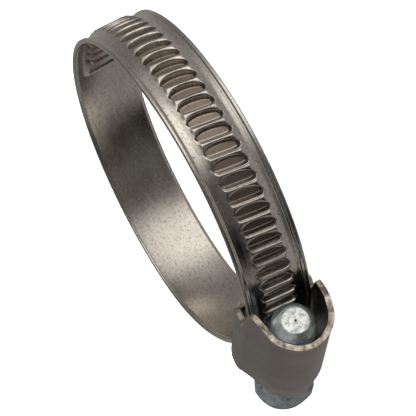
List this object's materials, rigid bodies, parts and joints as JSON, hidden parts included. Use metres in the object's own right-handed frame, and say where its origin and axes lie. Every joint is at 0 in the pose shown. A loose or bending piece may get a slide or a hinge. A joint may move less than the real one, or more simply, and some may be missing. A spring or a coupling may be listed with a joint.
{
  "type": "worm-drive hose clamp",
  "caption": "Worm-drive hose clamp: embossed steel band closed into a ring, pressed screw housing, and a hexagon-head worm screw that tightens the loop.",
  "frame": {"origin": "bottom middle of the clamp's box, with the clamp lying on its side", "axes": "+Z along the ring's axis; -Y towards the screw housing; screw along X, its head towards -X"},
  "size_m": [0.046, 0.0531, 0.0106],
  "materials": {
    "stainless_band": "satin stainless strip, warm grey, embossed worm thread",
    "stainless_housing": "smooth satin pressed stainless sheet, warm dark grey",
    "zinc_plated_steel": "bluish bright zinc plating on steel"
  },
  "bodies": {
    "housing_assembly": {"housing": "stainless_housing", "saddle": "stainless_housing", "band_fixed_end": "stainless_band"},
    "screw": {"worm_screw": "zinc_plated_steel"},
    "link_01": {"band_link_01": "stainless_band"},
    "link_02": {"band_link_02": "stainless_band"},
    "link_03": {"band_link_03": "stainless_band"},
    "link_04": {"band_link_04": "stainless_band"},
    "link_05": {"band_link_05": "stainless_band"},
    "link_06": {"band_link_06": "stainless_band"},
    "link_07": {"band_link_07": "stainless_band"},
    "link_08": {"band_link_08": "stainless_band"},
    "link_09": {"band_link_09": "stainless_band"},
    "link_10": {"band_link_10": "stainless_band"},
    "link_11": {"band_link_11": "stainless_band"},
    "link_12": {"band_link_12": "stainless_band"},
    "link_13": {"band_link_13": "stainless_band"},
    "link_14": {"band_link_14": "stainless_band"},
    "link_15": {"band_link_15": "stainless_band"},
    "link_16": {"band_link_16": "stainless_band"},
    "tail": {"band_tail": "stainless_band"}
  },
  "joints": [
    {"name": "screw_turn", "type": "hinge", "parent": "housing_assembly", "child": "screw", "pos_m": [0, -0.02205, 0.0053], "axis": [1, 0, 0], "range_deg": [-330, 2160]},
    {"name": "band_bend_01", "type": "hinge", "parent": "housing_assembly", "child": "link_01", "pos_m": [-0.00851, -0.0152, 0.0053], "axis": [0, 0, -1], "range_deg": [-0.32, 1.98]},
    {"name": "band_bend_02", "type": "hinge", "parent": "link_01", "child": "link_02", "pos_m": [-0.01485, -0.01115, 0.0053], "axis": [0, 0, -1], "range_deg": [-0.32, 1.98]},
    {"name": "band_bend_03", "type": "hinge", "parent": "link_02", "child": "link_03", "pos_m": [-0.0201, -0.00532, 0.0053], "axis": [0, 0, -1], "range_deg": [-0.32, 1.98]},
    {"name": "band_bend_04", "type": "hinge", "parent": "link_03", "child": "link_04", "pos_m": [-0.02243, 0.00243, 0.0053], "axis": [0, 0, -1], "range_deg": [-0.32, 1.98]},
    {"name": "band_bend_05", "type": "hinge", "parent": "link_04", "child": "link_05", "pos_m": [-0.02131, 0.01052, 0.0053], "axis": [0, 0, -1], "range_deg": [-0.32, 1.98]},
    {"name": "band_bend_06", "type": "hinge", "parent": "link_05", "child": "link_06", "pos_m": [-0.01737, 0.01768, 0.0053], "axis": [0, 0, -1], "range_deg": [-0.32, 1.98]},
    {"name": "band_bend_07", "type": "hinge", "parent": "link_06", "child": "link_07", "pos_m": [-0.01113, 0.02295, 0.0053], "axis": [0, 0, -1], "range_deg": [-0.32, 1.98]},
    {"name": "band_bend_08", "type": "hinge", "parent": "link_07", "child": "link_08", "pos_m": [-0.00342, 0.02564, 0.0053], "axis": [0, 0, -1], "range_deg": [-0.32, 1.98]},
    {"name": "band_bend_09", "type": "hinge", "parent": "link_08", "child": "link_09", "pos_m": [0.00474, 0.02539, 0.0053], "axis": [0, 0, -1], "range_deg": [-0.32, 1.98]},
    {"name": "band_bend_10", "type": "hinge", "parent": "link_09", "child": "link_10", "pos_m": [0.01228, 0.02224, 0.0053], "axis": [0, 0, -1], "range_deg": [-0.32, 1.98]},
    {"name": "band_bend_11", "type": "hinge", "parent": "link_10", "child": "link_11", "pos_m": [0.01819, 0.01661, 0.0053], "axis": [0, 0, -1], "range_deg": [-0.32, 1.98]},
    {"name": "band_bend_12", "type": "hinge", "parent": "link_11", "child": "link_12", "pos_m": [0.02169, 0.00923, 0.0053], "axis": [0, 0, -1], "range_deg": [-0.32, 1.98]},
    {"name": "band_bend_13", "type": "hinge", "parent": "link_12", "child": "link_13", "pos_m": [0.02233, 0.00109, 0.0053], "axis": [0, 0, -1], "range_deg": [-0.32, 1.98]},
    {"name": "band_bend_14", "type": "hinge", "parent": "link_13", "child": "link_14", "pos_m": [0.02, -0.00674, 0.0053], "axis": [0, 0, -1], "range_deg": [-0.32, 1.98]},
    {"name": "band_bend_15", "type": "hinge", "parent": "link_14", "child": "link_15", "pos_m": [0.01503, -0.01322, 0.0053], "axis": [0, 0, -1], "range_deg": [-0.32, 1.98]},
    {"name": "band_bend_16", "type": "hinge", "parent": "link_15", "child": "link_16", "pos_m": [0.00807, -0.0175, 0.0053], "axis": [0, 0, -1], "range_deg": [-0.32, 1.98]},
    {"name": "band_bend_17", "type": "hinge", "parent": "link_16", "child": "tail", "pos_m": [0.00005, -0.019, 0.0053], "axis": [0, 0, -1], "range_deg": [-0.32, 1.98]}
  ],
  "couplings": [
    {"joint": "band_bend_01", "follows": "screw_turn", "ratio": 0.0009064},
    {"joint": "band_bend_02", "follows": "screw_turn", "ratio": 0.0009064},
    {"joint": "band_bend_03", "follows": "screw_turn", "ratio": 0.0009064},
    {"joint": "band_bend_04", "follows": "screw_turn", "ratio": 0.0009064},
    {"joint": "band_bend_05", "follows": "screw_turn", "ratio": 0.0009064},
    {"joint": "band_bend_06", "follows": "screw_turn", "ratio": 0.0009064},
    {"joint": "band_bend_07", "follows": "screw_turn", "ratio": 0.0009064},
    {"joint": "band_bend_08", "follows": "screw_turn", "ratio": 0.0009064},
    {"joint": "band_bend_09", "follows": "screw_turn", "ratio": 0.0009064},
    {"joint": "band_bend_10", "follows": "screw_turn", "ratio": 0.0009064},
    {"joint": "band_bend_11", "follows": "screw_turn", "ratio": 0.0009064},
    {"joint": "band_bend_12", "follows": "screw_turn", "ratio": 0.0009064},
    {"joint": "band_bend_13", "follows": "screw_turn", "ratio": 0.0009064},
    {"joint": "band_bend_14", "follows": "screw_turn", "ratio": 0.0009064},
    {"joint": "band_bend_15", "follows": "screw_turn", "ratio": 0.0009064},
    {"joint": "band_bend_16", "follows": "screw_turn", "ratio": 0.0009064},
    {"joint": "band_bend_17", "follows": "screw_turn", "ratio": 0.0009064}
  ]
}
